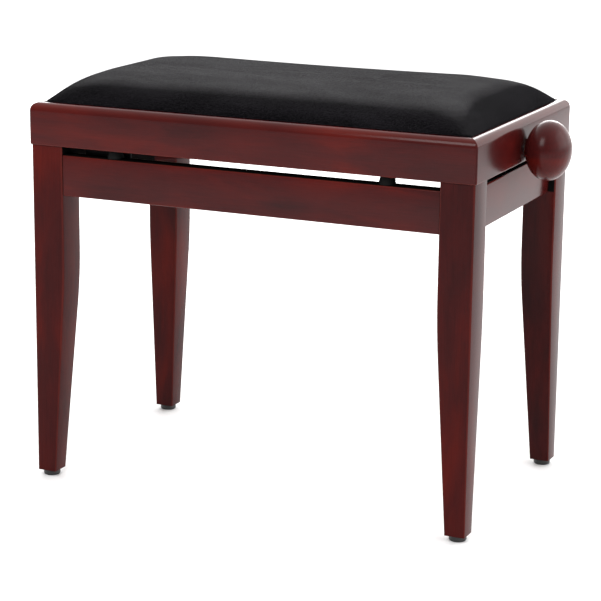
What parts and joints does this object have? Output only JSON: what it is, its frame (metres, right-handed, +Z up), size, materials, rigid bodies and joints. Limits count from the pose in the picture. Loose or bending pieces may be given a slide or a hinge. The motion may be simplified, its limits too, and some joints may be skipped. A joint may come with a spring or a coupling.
{
  "type": "adjustable piano bench",
  "caption": "Rectangular piano bench with tapered wooden legs, a padded velour seat and a side knob that raises the seat on a screw-driven scissor lift.",
  "frame": {"origin": "on the floor, under the middle of the whole bench with its knob, which is 26 mm from the seat frame's middle towards the knob", "axes": "+X along the bench towards the knob, +Y to the rear, so that the player sits on the -Y side, +Z up"},
  "size_m": [0.602, 0.328, 0.481],
  "materials": {
    "mahogany_lacquer": "dark red-brown stained hardwood under a satin lacquer",
    "bare_wood": "sawn hardwood, unstained",
    "plywood": "sanded plywood, unfinished",
    "velour": "short-pile black velour",
    "black_steel": "black powder coat",
    "zinc_steel": "bright zinc plate",
    "black_plastic": "moulded, fine matte",
    "rubber": "moulded, slightly shiny",
    "brass": "turned"
  },
  "bodies": {
    "stand": {"leg_front_left": "mahogany_lacquer", "leg_front_right": "mahogany_lacquer", "leg_rear_left": "mahogany_lacquer", "leg_rear_right": "mahogany_lacquer", "glide_front_left": "black_plastic", "glide_front_right": "black_plastic", "glide_rear_left": "black_plastic", "glide_rear_right": "black_plastic", "apron_front": "mahogany_lacquer", "apron_rear": "mahogany_lacquer", "apron_left": "mahogany_lacquer", "apron_right": "mahogany_lacquer", "corner_block_front_left": "bare_wood", "corner_block_front_right": "bare_wood", "corner_block_rear_left": "bare_wood", "corner_block_rear_right": "bare_wood", "leg_bolt_front_left": "zinc_steel", "leg_bolt_front_right": "zinc_steel", "leg_bolt_rear_left": "zinc_steel", "leg_bolt_rear_right": "zinc_steel", "base_rail_front": "black_steel", "base_rail_rear": "black_steel", "pivot_bracket_front": "black_steel", "pivot_bracket_rear": "black_steel", "slide_bracket_front": "black_steel", "slide_bracket_rear": "black_steel", "lower_pivot_pin_front": "zinc_steel", "lower_pivot_pin_rear": "zinc_steel", "buffer_front_left": "rubber", "buffer_front_right": "rubber", "buffer_rear_left": "rubber", "buffer_rear_right": "rubber"},
    "seat": {"seat_rail_front": "mahogany_lacquer", "seat_rail_rear": "mahogany_lacquer", "seat_rail_left": "mahogany_lacquer", "seat_rail_right": "mahogany_lacquer", "seat_board": "plywood", "cushion": "velour", "top_rail_front": "black_steel", "top_rail_rear": "black_steel", "seat_block_front_left": "bare_wood", "seat_block_front_right": "bare_wood", "seat_block_rear_left": "bare_wood", "seat_block_rear_right": "bare_wood", "upper_pivot_rod": "zinc_steel", "spindle_bush": "brass"},
    "inner_arms": {"inner_arm_front": "black_steel", "inner_arm_rear": "black_steel", "centre_pin_front": "zinc_steel", "centre_pin_rear": "zinc_steel", "cross_rod": "zinc_steel"},
    "outer_arms": {"outer_arm_front": "black_steel", "outer_arm_rear": "black_steel", "slide_pin_front": "zinc_steel", "slide_pin_rear": "zinc_steel"},
    "nut": {"nut_block": "zinc_steel"},
    "spindle_and_knob": {"spindle": "zinc_steel", "spindle_collar": "zinc_steel", "stop_nut": "zinc_steel", "knob": "mahogany_lacquer"}
  },
  "joints": [
    {"name": "seat_lift", "type": "slide", "parent": "stand", "child": "seat", "axis": [0, 0, 1], "range_m": [0, 0.095]},
    {"name": "inner_arm_swing", "type": "hinge", "parent": "stand", "child": "inner_arms", "pos_m": [0.138, 0, 0.406], "axis": [0, 1, 0], "range_deg": [0, 15.5]},
    {"name": "outer_arm_swing", "type": "hinge", "parent": "seat", "child": "outer_arms", "pos_m": [0.138, 0, 0.43], "axis": [0, -1, 0], "range_deg": [0, 15.5]},
    {"name": "nut_travel", "type": "slide", "parent": "seat", "child": "nut", "axis": [1, 0, 0], "range_m": [0, 0.01945]},
    {"name": "knob_turn", "type": "hinge", "parent": "seat", "child": "spindle_and_knob", "pos_m": [0.275, 0, 0.4185], "axis": [-1, 0, 0], "range_deg": [0, 3500]}
  ],
  "couplings": [
    {"joint": "inner_arm_swing", "follows": "seat_lift", "rad_per_m": 2.8439},
    {"joint": "outer_arm_swing", "follows": "seat_lift", "rad_per_m": 2.8439},
    {"joint": "nut_travel", "follows": "seat_lift", "ratio": 0.20459},
    {"joint": "knob_turn", "follows": "seat_lift", "rad_per_m": 642.74}
  ]
}
